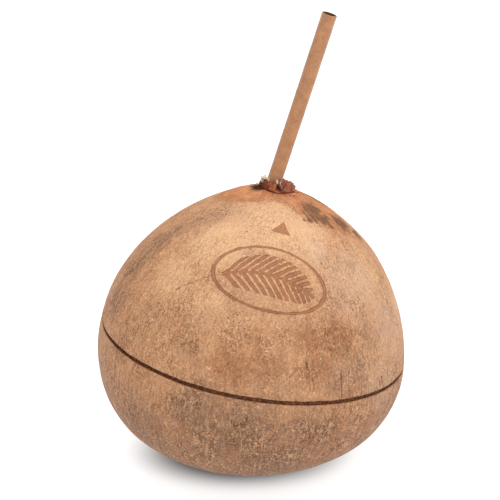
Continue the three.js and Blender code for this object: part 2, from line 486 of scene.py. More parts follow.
# Each row is azimuth in degrees; inset from the root's radius, height of the foot, width, height and lean
# outwards in mm; how pale the flake is, from -1 for dark to 1; and how ragged.
SHARDS = [
    (-152, 0.4, 1.4, 1.5, 2.2, 0.4, 0.0, 1.0),
    (-128, 0.6, 2.0, 1.4, 1.9, 0.1, 0.0, 0.8),
    (-107, 1.3, 2.9, 1.1, 1.8, 0.2, 1.0, 0.9),
    (-91, 1.5, 2.2, 0.4, 2.1, 0.1, 0.9, 0.5),
    (-76, 1.0, 2.3, 1.2, 2.5, -0.2, 0.0, 0.4),
    (-62, 0.5, 2.2, 1.6, 2.1, 0.0, 0.0, 0.4),
    (-44, 0.5, 2.0, 1.8, 1.6, 0.1, 0.0, 0.4),
    (-2, 0.8, 1.2, 2.2, 1.6, 0.0, 0.0, 0.3),
    (24, 1.2, 1.0, 1.8, 1.4, 0.1, 0.0, 0.3),
    (45, 0.9, 0.9, 2.2, 1.6, 0.2, 0.1, 0.35),
    (75, 0.5, 1.0, 2.0, 1.7, 0.2, 0.0, 0.4),
    (95, 0.6, 0.9, 1.6, 2.2, 0.4, 0.8, 1.0),
    (130, 0.5, 1.0, 2.4, 1.9, 0.5, 0.1, 1.0),
    (160, 0.5, 1.2, 2.0, 2.3, 0.7, 0.5, 1.0),
]
TURNED_SHARDS = [  # the same, with the azimuth that each one faces at the end
    (-177, -0.7, 1.3, 1.5, 3.2, 0.2, 0.85, 0.5, -110),
    (-168, 0.2, 3.3, 2.6, 1.4, 0.1, 1.0, 0.4, -100),
    (-156, 1.0, 2.4, 0.8, 2.3, 0.3, 1.0, 0.3, -70),
    (-176, 0.2, 0.2, 3.8, 3.3, 0.0, -1.0, 0.8, -95),
]
HAIRS = [  # polar angle, azimuth in degrees, length in mm, heading from straight down in radians
    (80.5, -75, 9, 0.35), (106, -85, 4.5, -0.35), (108, -70, 3.5, -0.2), (108, -92, 4.5, -0.15),
    (98, -112, 4, 0.3), (114, -58, 5, -0.4), (90, -40, 5, 0.5), (102, 20, 6, 0.3), (96, 120, 5, -0.4),
]
SHARD_COLUMNS, SHARD_ROWS = 8, 7
SHARD_THICKNESS = 0.3
STRAND_SIDES = 5
STANDING_FIBRES, SKIN_FIBRES, TUFT_FIBRES = 90, 80, 52
FRONT_OF_COLLAR = (-1.4, 0.6)  # no fibres stand here, radians


def shard(azimuth, inset, foot, width, height, lean, pale, ragged, facing=None):
    """A torn flake as a closed plate: points, faces and how pale each point is."""
    turned = radians(azimuth if facing is None else facing)
    root, _ = collar_outline(radians(azimuth))
    middle = collar_point(radians(azimuth), root - inset * MM, 0)
    out = round_axis(OWN_AXIS, turned)
    across = np.cross(OWN_AXIS, out)
    points, tones = [], []
    phase = rng.uniform(0, 6)
    for side in (1, -1):
        for row in range(SHARD_ROWS):
            up = row / (SHARD_ROWS - 1)
            for column in range(SHARD_COLUMNS):
                along = column / (SHARD_COLUMNS - 1) - 0.5
                narrow = 1 - 0.35 * up + 0.12 * sin(5 * up + phase)
                tatter = 0.22 * sin(9 * along + phase) + 0.12 * sin(23 * along + 2 * phase)
                rise = foot + height * up * (1 + ragged * tatter * up)
                bend = lean * up * up + 0.2 * sin(6 * along + phase) * up
                curl = bend + side * SHARD_THICKNESS * (0.5 - 0.35 * up) - 0.09 * (along * width) ** 2
                place = along * width * narrow * across + curl * out + rise * OWN_AXIS
                points.append(middle + place * MM)
                tones.append(pale * min(1, up * 2.5))
    size = SHARD_ROWS * SHARD_COLUMNS
    grid = np.arange(size).reshape(SHARD_ROWS, SHARD_COLUMNS)
    faces = []
    for a in grid[:-1, :-1].ravel().tolist():
        b, c, d = a + 1, a + SHARD_COLUMNS + 1, a + SHARD_COLUMNS
        faces.append((a, b, c, d))
        faces.append((size + a, size + d, size + c, size + b))
    border = np.concatenate([grid[0], grid[1:, -1], grid[-1, -2::-1], grid[-2:0:-1, 0]]).tolist()
    for a, b in zip(border, border[1:] + border[:1]):
        faces.append((b, a, size + a, size + b))
    return points, faces, tones


def strand(path, thick, pale):
    """A tapered fibre as a closed tube along a list of points: points, faces and how pale each point is."""
    sides = STRAND_SIDES
    points = []
    for i, centre in enumerate(path):
        ahead = path[min(i + 1, len(path) - 1)] - path[max(i - 1, 0)]
        ahead = ahead / norm(ahead)
        across = np.cross(ahead, [0.3, 0.5, 0.8])
        across /= norm(across)
        upward = np.cross(ahead, across)
        radius = thick / 2 * (1 - 0.75 * i / (len(path) - 1))
        for side in range(sides):
            angle = 2 * pi * side / sides
            points.append(centre + radius * (cos(angle) * across + sin(angle) * upward))
    faces = tube_faces(len(path), sides)
    faces.append(tuple(range(sides - 1, -1, -1)))
    faces.append(tuple((len(path) - 1) * sides + side for side in range(sides)))
    return points, faces, [pale] * len(points)


def lying_fibre(polar, azimuth, length, heading, lift):
    """A path over the skin from a place; length and lift in mm, heading from straight down in radians."""
    steps = 9
    path = []
    wave = rng.uniform(0, 6)
    for i in range(steps):
        share = i / (steps - 1)
        down = length * share * cos(heading)
        sideways = length * share * sin(heading) + 0.35 * sin(5 * share + wave)
        p = polar + down * MM / CROWN_RADIUS
        a = azimuth + sideways * MM / (CROWN_RADIUS * sin(max(p, 0.02)))
        skin = crown_skin(p, a)
        rise = (0.28 + lift * sin(pi * min(1, share * 1.1))) * MM
        path.append(MIDDLE + skin * (1 + rise / norm(skin)))
    return path


def standing_fibres():
    """Fibres standing out of the torn rim, clear of the straw."""
    for _ in range(STANDING_FIBRES):
        angle = rng.uniform(-pi, pi)
        if FRONT_OF_COLLAR[0] < angle < FRONT_OF_COLLAR[1]:
            continue
        root, rim = collar_outline(angle)
        radius = root / MM - rng.uniform(0.0, 1.2)
        foot = rim / MM * rng.uniform(0.3, 0.6)
        length = rim / MM * rng.uniform(0.4, 0.8)
        lean = rng.uniform(-0.25, 0.5)
        twist = rng.uniform(-0.35, 0.35)
        path = []
        for i in range(7):
            s = i / 6
            reach = (radius + lean * length * s * s) * MM
            path.append(collar_point(angle + twist * s * s, reach, (foot + length * s * 0.8) * MM))
        near_straw = min(norm(np.cross(p - MIDDLE - ENTRY, STRAW_AXIS)) for p in path)
        if near_straw > STRAW_RADIUS + 0.1 * MM:
            yield strand(path, rng.uniform(0.12, 0.3) * MM, 0.8 if rng.random() < 0.12 else 0.0)


def skin_fibres():
    """Fibres lying on the skin, most of them in the dark tuft on the -X side of the collar."""
    for number in range(SKIN_FIBRES):
        tuft = number < TUFT_FIBRES
        azimuth = radians(rng.gauss(-177, 9) if tuft else rng.uniform(-180, 180))
        polar = radians(6.0 + rng.uniform(-0.5, 2.6 if tuft else 2))
        path = lying_fibre(polar, azimuth, rng.uniform(1.2, 3.2), rng.gauss(0, 0.5), rng.uniform(0, 0.7))
        yield strand(path, rng.uniform(0.15, 0.5 if tuft else 0.25) * MM, -1.0 if tuft else 0.0)


def pale_hairs():
    """A few pale hairs left on the shell."""
    for polar, azimuth, length, heading in HAIRS:
        yield strand(lying_fibre(radians(polar), radians(azimuth), length, heading, 0.1), 0.34 * MM, 0.4)


def make_torn_husk():
    """All the flakes and fibres, which share one mesh. Their order keeps the order of the random draws."""
    points, faces, tones = [], [], []
    flakes = (shard(*row) for row in SHARDS + TURNED_SHARDS)
    for group in (flakes, standing_fibres(), skin_fibres(), pale_hairs()):
        for new_points, new_faces, new_tones in group:
            base = len(points)
            points.extend(new_points)
            faces.extend(tuple(base + i for i in face) for face in new_faces)
            tones.extend(new_tones)
    return mesh_object("torn_husk", points, faces, [("flesh", tones)])


# ---- Straw ----

SEAM_PITCH = 17 * MM
SEAM_STEP = 0.05 * MM
STRAW_FOOT_GAP = 0.3 * MM
STRAW_BEVEL = 0.1 * MM
STRAW_SIDES, STRAW_OUTER_ROWS, STRAW_INNER_ROWS = 72, 240, 30


def straw_profile():
    """Radius and distance from the foot of every ring: the foot, the outside, the top and the inside."""
    hollow = STRAW_RADIUS - STRAW_WALL
    neck = STRAW_LENGTH - STRAW_BEVEL
    foot = [
        (hollow, STRAW_BEVEL),
        (hollow + STRAW_BEVEL, 0.0),
        (STRAW_RADIUS - STRAW_BEVEL, 0.0),
        (STRAW_RADIUS, STRAW_BEVEL),
    ]
    top = [
        (STRAW_RADIUS, neck),
        (STRAW_RADIUS - STRAW_BEVEL, STRAW_LENGTH),
        (hollow + STRAW_BEVEL, STRAW_LENGTH),
        (hollow, neck),
    ]
    outer = [(STRAW_RADIUS, z) for z in np.linspace(STRAW_BEVEL, neck, STRAW_OUTER_ROWS)[1:-1]]
    inner = [(hollow, z) for z in np.linspace(neck, STRAW_BEVEL, STRAW_INNER_ROWS)[1:-1]]
    return foot + outer + top + inner


def make_straw():
    """The wound paper tube, with a slight step along its spiral seam and rounded, cut ends."""
    across = np.cross([0.0, 1.0, 0.0], STRAW_AXIS)
    across /= norm(across)
    forward = np.cross(STRAW_AXIS, across)
    angles = np.linspace(0, 2 * pi, STRAW_SIDES, endpoint=False)
    out = np.cos(angles)[:, None] * across + np.sin(angles)[:, None] * forward
    foot = HOLE_END + STRAW_FOOT_GAP * STRAW_AXIS
    profile = straw_profile()
    points, turns = [], []
    for radius, z in profile:
        share = (angles / (2 * pi) + z / SEAM_PITCH) % 1
        step = SEAM_STEP * (1 - share) * (radius > STRAW_RADIUS - 1.5 * STRAW_BEVEL)
        oval = 1 + 0.006 * sin(z / (21 * MM))
        points.append(foot + z * STRAW_AXIS + (radius - step)[:, None] * out * oval)
        turns.append(share)
    rings = len(points)
    points = np.concatenate(points) + MIDDLE
    around = np.tile(angles, rings)
    lengths = np.repeat([z for _, z in profile], STRAW_SIDES)
    wrap = np.stack([STRAW_RADIUS * np.cos(around), STRAW_RADIUS * np.sin(around), lengths], -1)
    inside = np.array([radius < STRAW_RADIUS - STRAW_WALL * 0.9 for radius, _ in profile])
    attributes = [
        ("wrap", wrap),
        ("seam", np.concatenate(turns)),
        # Painted shade: the inner wall is marked for a dark colour.
        ("inside", np.repeat(inside.astype(float), STRAW_SIDES)),
    ]
    piece = mesh_object("paper_straw", points, tube_faces(rings, STRAW_SIDES, closed=True), attributes)
    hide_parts("straw")
    return piece


# ---- Shader arithmetic ----

def srgb(red, green, blue):
    """A display colour, 0 to 255, as linear RGBA."""
    shares = (value / 255 for value in (red, green, blue))
    return (*(s / 12.92 if s <= 0.04045 else ((s + 0.055) / 1.055) ** 2.4 for s in shares), 1.0)


class Term:
    """A number socket that can be added, multiplied and so on."""

    def __init__(self, shader, socket):
        self.shader = shader
        self.socket = socket

    def math(self, operation, *others):
        node = self.shader.node("ShaderNodeMath", operation=operation)
        for slot, value in zip(node.inputs, (self, *others)):
            self.shader.feed(slot, value)
        return Term(self.shader, node.outputs[0])

    def __add__(self, other):
        return self.math("ADD", other)

    __radd__ = __add__

    def __mul__(self, other):
        return self.math("MULTIPLY", other)

    __rmul__ = __mul__

    def __sub__(self, other):
        return self.math("SUBTRACT", other)

    def __rsub__(self, other):
        return (self * -1) + other

    def __truediv__(self, other):
        return self.math("DIVIDE", other)

    def __abs__(self):
        return self.math("ABSOLUTE")

    def ease(self, low, high):
        """0 at low and 1 at high, eased between; low may be the greater."""
        node = self.shader.node("ShaderNodeMapRange", {
            "Value": self,
            "From Min": min(low, high),
            "From Max": max(low, high),
            "To Min": float(low > high),
            "To Max": float(low < high),
        }, interpolation_type="SMOOTHSTEP")
        return Term(self.shader, node.outputs["Result"])


class Shader:
    """A material under construction, with its places in the object's own space, which is the row frame."""

    def __init__(self, name):
        self.material = bpy.data.materials.new(name)
        self.material.use_nodes = True
        self.tree = self.material.node_tree
        self.surface = self.tree.nodes["Principled BSDF"]
        self.place = self.node("ShaderNodeTexCoord").outputs["Object"]

    def node(self, kind, inputs=None, **settings):
        made = self.tree.nodes.new(kind)
        for key, value in settings.items():
            setattr(made, key, value)
        for slot, value in (inputs or {}).items():
            self.feed(made.inputs[slot], value)
        return made

    def feed(self, slot, value):
        """Joins or sets an input."""
        if isinstance(value, Term):
            value = value.socket
        if isinstance(value, bpy.types.NodeSocket):
            self.tree.links.new(value, slot)
        else:
            slot.default_value = value

    def attribute(self, name):
        """A value that the mesh carries."""
        return Term(self, self.node("ShaderNodeAttribute", attribute_name=name).outputs["Fac"])

    def mapped(self, name, length=1.0):
        """A vector that the mesh carries, with its third part scaled, so that noise is drawn out along it."""
        vector = self.node("ShaderNodeAttribute", attribute_name=name).outputs["Vector"]
        ends = {0: vector, 1: (1, 1, length)}
        return self.node("ShaderNodeVectorMath", ends, operation="MULTIPLY").outputs["Vector"]

    def along(self, origin, direction):
        """Distance of the place from origin along a direction, in millimetres."""
        away = self.node("ShaderNodeVectorMath", {0: self.place, 1: tuple(origin)}, operation="SUBTRACT")
        ends = {0: away.outputs["Vector"], 1: tuple(np.asarray(direction) / MM)}
        return Term(self, self.node("ShaderNodeVectorMath", ends, operation="DOT_PRODUCT").outputs["Value"])

    def noise(self, size, detail=2.0, roughness=0.5, distortion=0.0, at=None):
        """Noise from 0 to 1 with features of a size in metres."""
        node = self.node("ShaderNodeTexNoise", {
            "Vector": self.place if at is None else at,
            "Scale": 1 / size,
            "Detail": detail,
            "Roughness": roughness,
            "Distortion": distortion,
        })
        return Term(self, node.outputs["Fac"])

    def cells(self, size, at):
        """Distance to the nearest of scattered points, as a share of size."""
        node = self.node("ShaderNodeTexVoronoi", {"Vector": at, "Scale": 1 / size})
        return Term(self, node.outputs["Distance"])

    def spot(self, centre, size):
        """1 at a place, falling to 0 at a distance of size, in metres."""
        node = self.node("ShaderNodeVectorMath", {0: self.place, 1: tuple(centre)}, operation="DISTANCE")
        return Term(self, node.outputs["Value"]).ease(size, 0.0)

    def blend(self, share, first, second, mode="MIX"):
        """The first colour mixed with the second one by a share; a tuple is a display colour."""
        first, second = (srgb(*c) if isinstance(c, tuple) else c for c in (first, second))
        sockets = {0: share, 6: first, 7: second}
        return self.node("ShaderNodeMix", sockets, data_type="RGBA", blend_type=mode).outputs[2]

    def layers(self, colour, rows, mode="MIX"):
        """A colour with others laid over it in turn, each by its share."""
        for share, tone in rows:
            colour = self.blend(share, colour, tone, mode)
        return colour

    def finish(self, colour, roughness, height, depth, specular=0.4):
        """Puts colour, roughness and a bump of a depth in metres on the surface."""
        bump = self.node("ShaderNodeBump", {"Distance": depth, "Height": height})
        surface = {"Base Color": colour, "Roughness": roughness, "Normal": bump.outputs["Normal"]}
        for slot, value in surface.items():
            self.feed(self.surface.inputs[slot], value)
        self.surface.inputs["Specular IOR Level"].default_value = specular
        return self.material


# ---- Materials ----

def mark_share(shader):
    """The burned mark: 1 on its strokes, and 1 along their edges."""
    u = shader.along(MARK_MIDDLE, MARK_ACROSS)
    v = shader.along(MARK_MIDDLE, MARK_UP)
    out = shader.along(MARK_MIDDLE, MARK_OUT)
    waver = shader.noise(2.5 * MM, 3.0) - 0.5
    u = u + 0.6 * waver
    v = v - 0.6 * waver
    # Each shape is a depth in mm inside its outline.
    reach = ((u / MARK_HALF_WIDTH).math("POWER", 2) + (v / MARK_HALF_HEIGHT).math("POWER", 2)).math("SQRT")
    ring = MARK_RING_WIDTH / 2 - abs((reach - 1) * MARK_HALF_HEIGHT)
    # Palm frond: a bowed spine with slanted leaflets inside a leaf-shaped outline.
    bow = v + 0.010 * u.math("POWER", 2) - 1.2
    share = u / FROND_HALF_LENGTH
    swell = (1 - share * share).math("MAXIMUM", 0.0).math("SQRT") * FROND_HALF_HEIGHT
    outline = (swell - abs(bow)) * 0.7
    row = ((u - FROND_SLANT * abs(bow)) / FROND_PITCH).math("FRACT")
    leaflet = (LEAFLET_SHARE / 2 - abs(row - 0.5)) * (FROND_PITCH * 0.72)
    spine = SPINE_HALF_WIDTH - abs(bow)
    spine = spine.math("MINIMUM", (1.02 - abs(share)) * FROND_HALF_LENGTH)
    frond = leaflet.math("MINIMUM", outline).math("MAXIMUM", spine)
    # Arrow.
    rise = v - ARROW_BASE
    flank = ARROW_HALF_WIDTH * (1 - rise / (ARROW_TOP - ARROW_BASE)) - abs(u - ARROW_ACROSS)
    arrow = rise.math("MINIMUM", flank * 0.8)
    depth = ring.math("MAXIMUM", frond).math("MAXIMUM", arrow)
    worn = shader.noise(1.4 * MM, 3.0, 0.6) - 0.5
    front = out.ease(-26, -24)
    depth = depth + 0.3 * worn
    inside = depth.ease(-0.13, 0.13) * front
    rim = abs(depth).ease(0.26, 0.05) * front
    return inside, rim


def skin_spot(azimuth, polar):
    """A place on the plain skin, in the row frame, from angles in degrees."""
    return MIDDLE + crown_skin(radians(polar), radians(azimuth))


# Patches of tone: azimuth and polar angle round the crown in degrees, size in mm, strength.
GREY_PATCHES = [
    (-118, 80, 12, 0.4), (-111, 100, 22, 0.8), (-95, 104, 26, 0.7), (-72, 104, 24, 0.5), (-104, 114, 16, 0.5),
    (-85, 118, 24, 0.6), (-121, 25, 8, 0.35), (-146, 30, 13, 0.45), (-158, 35, 12, 0.6), (-162, 43, 12, 0.65),
    (-163, 51, 13, 0.7), (-164, 59, 13, 0.7), (-164, 67, 14, 0.7), (-163, 76, 15, 0.7), (-58, 86, 22, 0.6),
    (-47, 73, 14, 0.4), (-135, 112, 22, 0.4), (-40, 45, 16, 0.3), (60, 70, 30, 0.6), (130, 100, 34, 0.6),
    (10, 110, 26, 0.4),
]
RUST_PATCHES = [
    (-63, 72, 16, 0.8), (-74, 72, 13, 0.7), (-72, 82, 14, 0.7), (-92, 80, 20, 0.5), (-102, 83, 17, 0.7),
    (-68, 108, 14, 0.4), (-128, 68, 14, 0.3), (-60, 58, 12, 0.5), (-135, 93, 12, 0.5), (-148, 90, 14, 0.5),
    (20, 60, 24, 0.5), (100, 85, 30, 0.6), (170, 75, 22, 0.5),
]
PALE_PATCHES = [
    (-100, 26, 26, 1.0), (-72, 30, 22, 0.8), (-125, 38, 24, 0.9), (-35, 48, 24, 0.7), (-100, 50, 20, 0.4),
    (-136, 59, 20, 0.7), (-116, 62, 18, 0.5), (-10, 70, 24, 0.55), (60, 35, 26, 0.6), (140, 40, 30, 0.6),
]
COOL_PATCHES = [
    (-48, 52, 26, 0.9), (-62, 38, 16, 0.6), (-28, 72, 26, 0.8), (-40, 92, 22, 0.6), (-108, 40, 12, 0.4),
    (80, 60, 30, 0.6), (-170, 110, 30, 0.5),
]
UMBER_PATCHES = [
    (-38, 16, 8, 1.0), (-47, 20, 7, 0.9), (-35, 23, 7, 1.0), (-12, 27, 8, 1.0), (-4, 36, 5, 0.9),
    (-55, 21, 4, 0.8), (-176, 8, 5, 1.0), (30, 18, 9, 0.8), (120, 12, 8, 0.8),
]
CRACK_MIDDLE = skin_spot(-61, 88)
CRACK_ACROSS = np.array([sin(radians(61)), cos(radians(61)), 0])


def patches(shader, rows):
    """The strongest of a table's patches at each place."""
    total = None
    for azimuth, polar, size, strength in rows:
        one = shader.spot(skin_spot(azimuth, polar), size * MM) * strength
        total = one if total is None else total.math("MAXIMUM", one)
    return total


def broad_tones(shader, ragged, long_streak):
    """Mottled brown with pale, rusty, cool and grey patches, and how strong some of them are."""
    cloud = shader.noise(20 * MM, 3.0, 0.55)
    mottle = shader.noise(5 * MM, 4.0, 0.65, 0.6)
    pale = (patches(shader, PALE_PATCHES) * 1.3 + ragged * 0.9).ease(0.1, 0.95)
    rust = (patches(shader, RUST_PATCHES) * 1.3 + ragged * 1.2).ease(0.1, 0.9)
    cool = (patches(shader, COOL_PATCHES) * 1.3 + ragged * 0.9).ease(0.1, 0.95)
    grey = patches(shader, GREY_PATCHES) * 1.3 + ragged * 1.2 + (long_streak - 0.5) * 2.2
    grey = grey.ease(0.1, 0.9)
    # The grey band down the -X side is streaked with dark and orange fibres.
    weathered = shader.spot(skin_spot(-160, 56), 52 * MM).ease(0.05, 0.4) * grey
    colour = shader.blend(mottle.ease(0.38, 0.7) * 0.55, (202, 151, 109), (172, 117, 77))
    colour = shader.layers(colour, (
        (cloud.ease(0.45, 0.7) * 0.35, (168, 132, 102)),
        (pale * 0.8, (221, 176, 132)),
        (rust * 0.8, (156, 102, 66)),
        (cool * 0.55, (200, 164, 137)),
        (grey * 0.68, (134, 100, 76)),
        (long_streak.ease(0.52, 0.4) * weathered * 0.55, (116, 70, 46)),
        (long_streak.ease(0.52, 0.64) * weathered * 0.6, (216, 160, 116)),
    ))
    return colour, mottle, (pale, cool, grey)


def draw_fibres(shader, colour, streaks, here, sanded, height):
    """Dark and light fibres, stronger in some places than in others, and least where it is sanded."""
    long_streak, short_streak, grain = streaks
    drawn = here * (1.0 - 0.55 * sanded)
    fine = here * (1.0 - 0.25 * height.ease(75, 50))
    felt = shader.noise(1.5 * MM, 2.0, 0.6, 1.6, at=shader.mapped("fibre", 0.75))
    colour = shader.layers(colour, (
        (long_streak.ease(0.5, 0.3) * drawn * 0.5, (146, 106, 82)),
        (short_streak.ease(0.49, 0.32) * drawn * 0.5, (144, 110, 90)),
        (felt.ease(0.5, 0.36) * fine * 0.55, (170, 150, 138)),
        (grain.ease(0.56, 0.36) * fine * 0.8, (146, 118, 100)),
    ), "MULTIPLY")
    return shader.layers(colour, (
        (long_streak.ease(0.54, 0.72) * drawn * 0.3, (236, 196, 152)),
        (short_streak.ease(0.56, 0.72) * drawn * 0.3, (234, 194, 152)),
        (felt.ease(0.52, 0.64) * here * 0.4, (228, 168, 120)),
        (grain.ease(0.58, 0.7) * here * 0.5, (236, 190, 146)),
    ))


def draw_strokes(shader, colour, cool, grey):
    """Thin dark strokes along the fibres, on the greyer parts, and curled pale hairs."""
    stroke = shader.noise(1.9 * MM, 1.0, 0.5, 0.3, at=shader.mapped("fibre", 0.22))
    broken = shader.noise(2.2 * MM, 2.0).ease(0.5, 0.6) * (0.25 + 0.5 * cool + 0.5 * grey)
    stroke = abs(stroke - 0.5).ease(0.018, 0.006) * broken
    colour = shader.blend(stroke * 0.4, colour, (132, 86, 58))
    curl = shader.noise(4.2 * MM, 2.0, 0.5, 1.6, at=shader.mapped("fibre", 0.55))
    hair = abs(curl - 0.5).ease(0.011, 0.003) * shader.noise(6 * MM, 2.0).ease(0.5, 0.6)
    return shader.blend(hair * 0.6, colour, (240, 198, 154))


def draw_pores(shader, colour, sanded):
    """Dark pores and small pits, and where they are."""
    pore = shader.cells(2.4 * MM, at=shader.mapped("fibre", 0.5)).ease(0.17, 0.07)
    pore = pore * shader.noise(4 * MM, 1.0).ease(0.5, 0.64) * (1.0 - 0.7 * sanded)
    colour = shader.blend(pore * 0.35, colour, (112, 66, 40))
    pit = shader.cells(8 * MM, shader.place).ease(0.075, 0.035)
    colour = shader.blend(pit * 0.6, colour, (84, 46, 26))
    return colour, pore.math("MAXIMUM", pit)


def draw_crack(shader, colour, ragged):
    """One short crack above the groove, and where it is."""
    across = shader.along(CRACK_MIDDLE, CRACK_ACROSS) + ragged * 1.5
    down = shader.along(CRACK_MIDDLE, (0, 0, 1))
    front = shader.along((0, 0, 0), (0, -1, 0)).ease(0, 9)
    crack = abs(across).ease(0.4, 0.1) * abs(down).ease(6.5, 3.5) * front
    return shader.blend(crack * 0.7, colour, (84, 50, 32)), crack


def skin_colour(shader, streaks):
    """The sanded shell: its colour, its mottle and where it is pitted."""
    ragged = shader.noise(7 * MM, 4.0, 0.65) - 0.5
    height = shader.along((0, 0, 0), (0, 0, 1)) + ragged * 20
    colour, mottle, (pale, cool, grey) = broad_tones(shader, ragged, streaks[0])
    # Painted shade: the lower half is darker and greyer, most of all underneath.
    colour = shader.layers(colour, (
        (height.ease(60, 22) * 0.75, (176, 162, 156)),
        (height.ease(22, 0) * 0.7, (150, 140, 134)),
        (height.ease(9, -3) * 0.85, (112, 98, 90)),
    ), "MULTIPLY")
    here = 0.45 + 0.45 * shader.noise(11 * MM, 2.0).ease(0.35, 0.65)
    here = here * (1.0 - 0.3 * pale) * (0.9 + 0.25 * height.ease(64, 40))
    sanded = shader.spot(skin_spot(-98, 72), 40 * MM).ease(0.1, 0.7)
    colour = draw_fibres(shader, colour, streaks, here, sanded, height)
    colour = draw_strokes(shader, colour, cool, grey)
    colour, pits = draw_pores(shader, colour, sanded)
    colour, crack = draw_crack(shader, colour, ragged)
    return colour, mottle, pits.math("MAXIMUM", crack)


def husk_layer(shader):
    """Colour of the husk left round the crown, where it lies, and its height."""
    edge = shader.attribute("husk")
    coarse = shader.noise(3 * MM, 4.0, 0.7) - 0.5
    streaky = shader.noise(1.5 * MM, 4.0, 0.65, at=shader.mapped("fibre", 0.3))
    speckle = shader.noise(0.8 * MM, 3.0, 0.7)
    ragged_edge = edge + 10 * coarse + 13 * (streaky - 0.5)
    share = ragged_edge.ease(-0.8, 0.9)
    cloud = shader.noise(5 * MM, 4.0, 0.7)
    tatters = shader.noise(2.2 * MM, 4.0, 0.7, 0.4, at=shader.mapped("fibre", 0.22)) - 0.5
    stained = patches(shader, UMBER_PATCHES)
    umber = stained * 1.7 + coarse * 2.4 + tatters * 5.0 + (speckle - 0.5) * 1.4
    umber = umber.ease(0.45, 0.85) * stained.ease(0.02, 0.2)
    umber_colour = shader.blend(streaky.ease(0.4, 0.58), (66, 38, 20), (128, 80, 46))
    colour = shader.blend(streaky.ease(0.36, 0.62), (150, 84, 42), (204, 132, 80))
    colour = shader.layers(colour, (
        (cloud.ease(0.5, 0.62) * 0.6, (214, 150, 98)),
        (cloud.ease(0.47, 0.36) * 0.5, (146, 88, 50)),
        (ragged_edge.ease(5, 0) * 0.45, (138, 80, 44)),
        (umber * 0.95, umber_colour),
        (speckle.ease(0.46, 0.28) * 0.55, (104, 58, 32)),
        (speckle.ease(0.58, 0.72) * 0.35, (222, 162, 112)),
    ))
    return colour, (share * 0.8).math("MAXIMUM", umber * 0.95), streaky


def burn_mark(shader, colour):
    """The burned mark, darker along its edges, and where it is."""
    mark, rim = mark_share(shader)
    burn_tone = shader.noise(0.9 * MM, 3.0, 0.7)
    burn = shader.blend(burn_tone.ease(0.3, 0.7), (128, 72, 42), (172, 110, 70))
    colour = shader.blend(mark * (0.65 + 0.4 * burn_tone), colour, burn)
    scorch = shader.noise(5 * MM, 2.0).ease(0.35, 0.65)
    scorch = rim * (0.3 + 0.5 * burn_tone) * (0.5 + 0.8 * scorch)
    return shader.blend(scorch, colour, (98, 50, 28)), mark


def cut_groove(shader, colour):
    """Darker wood in the scored groove."""
    tone = shader.noise(0.9 * MM, 3.0, 0.7)
    cut_colour = shader.blend(tone.ease(0.42, 0.7), (76, 36, 15), (142, 86, 48))
    return shader.blend(shader.attribute("groove").ease(0.1, 0.55), colour, cut_colour)


def tear_collar(shader, colour):
    """The torn collar with painted shade in its crease, its splits and the drinking hole, and the collar's
    own unevenness.
    """
    torn = shader.noise(2.2 * MM, 4.0, 0.65, 1.0)
    red = shader.noise(4 * MM, 2.0)
    fine = shader.noise(0.7 * MM, 3.0, 0.7)
    # The amber spot on the left slab is partly its orange tone and partly a painted highlight on its lower
    # part.
    amber = shader.spot(collar_point(radians(-112), 6.4 * MM, 1.2 * MM), 3.6 * MM)
    amber = (amber + 2.6 * (torn - 0.5)).ease(0.3, 1.0)
    collar_colour = shader.blend(torn.ease(0.35, 0.65), (112, 52, 28), (186, 108, 66))
    collar_colour = shader.layers(collar_colour, (
        (red.ease(0.4, 0.6) * 0.5, (150, 74, 48)),
        (amber * 0.6, (206, 126, 66)),
        (fine.ease(0.48, 0.3) * 0.5, (84, 36, 20)),
    ))
    collar = shader.attribute("collar")
    colour = shader.layers(colour, (
        (collar, collar_colour),
        # Painted shade in the crease round the collar's root.
        (shader.attribute("crease").ease(0.05, 0.7) * 0.8, (84, 36, 18)),
        # Painted shade in the splits between the collar's chunks.
        (shader.attribute("split") * 0.92, (40, 17, 10)),
        # Painted shade down the drinking hole.
        (shader.attribute("hole"), (46, 22, 14)),
    ))
    return colour, collar, torn


def shell_material():
    """Everything on the nut, from the skin outwards."""
    shader = Shader("shell")
    long_streak = shader.noise(1.1 * MM, 3.0, 0.65, 0.3, at=shader.mapped("fibre", 0.15))
    short_streak = shader.noise(0.8 * MM, 2.0, 0.6, 0.5, at=shader.mapped("fibre", 0.3))
    grain = shader.noise(0.72 * MM, 2.0, 0.65, 0.5)
    colour, mottle, pits = skin_colour(shader, (long_streak, short_streak, grain))
    husk_colour, husk, husk_relief = husk_layer(shader)
    colour = shader.blend(husk, colour, husk_colour)
    colour, mark = burn_mark(shader, colour)
    colour = cut_groove(shader, colour)
    colour, collar, torn = tear_collar(shader, colour)

    relief = long_streak * 0.4 + short_streak * 0.35 + grain * 0.3 + torn * collar
    relief = relief + husk * (0.4 + husk_relief) - mark * 0.9 - pits * 0.6
    roughness = 0.52 + 0.18 * mottle + 0.12 * short_streak - 0.24 * collar
    return shader.finish(colour, roughness, relief, 0.1 * MM, 0.35)


def torn_husk_material():
    """Brown flakes, with pale flesh or dark fibres where the mesh says so."""
    shader = Shader("torn_husk")
    tone = shader.noise(0.8 * MM, 3.0, 0.65)
    brown = shader.blend(tone.ease(0.3, 0.7), (96, 42, 24), (176, 98, 62))
    flesh = shader.blend(tone.ease(0.3, 0.65), (214, 184, 160), (246, 236, 220))
    share = shader.attribute("flesh")
    colour = shader.blend((share + (tone - 0.5) * 0.9).ease(0.3, 0.7), brown, flesh)
    colour = shader.blend(share.ease(-0.3, -0.8) * 0.8, colour, (52, 22, 12))
    return shader.finish(colour, 0.6 + 0.2 * tone, tone, 0.1 * MM, 0.35)


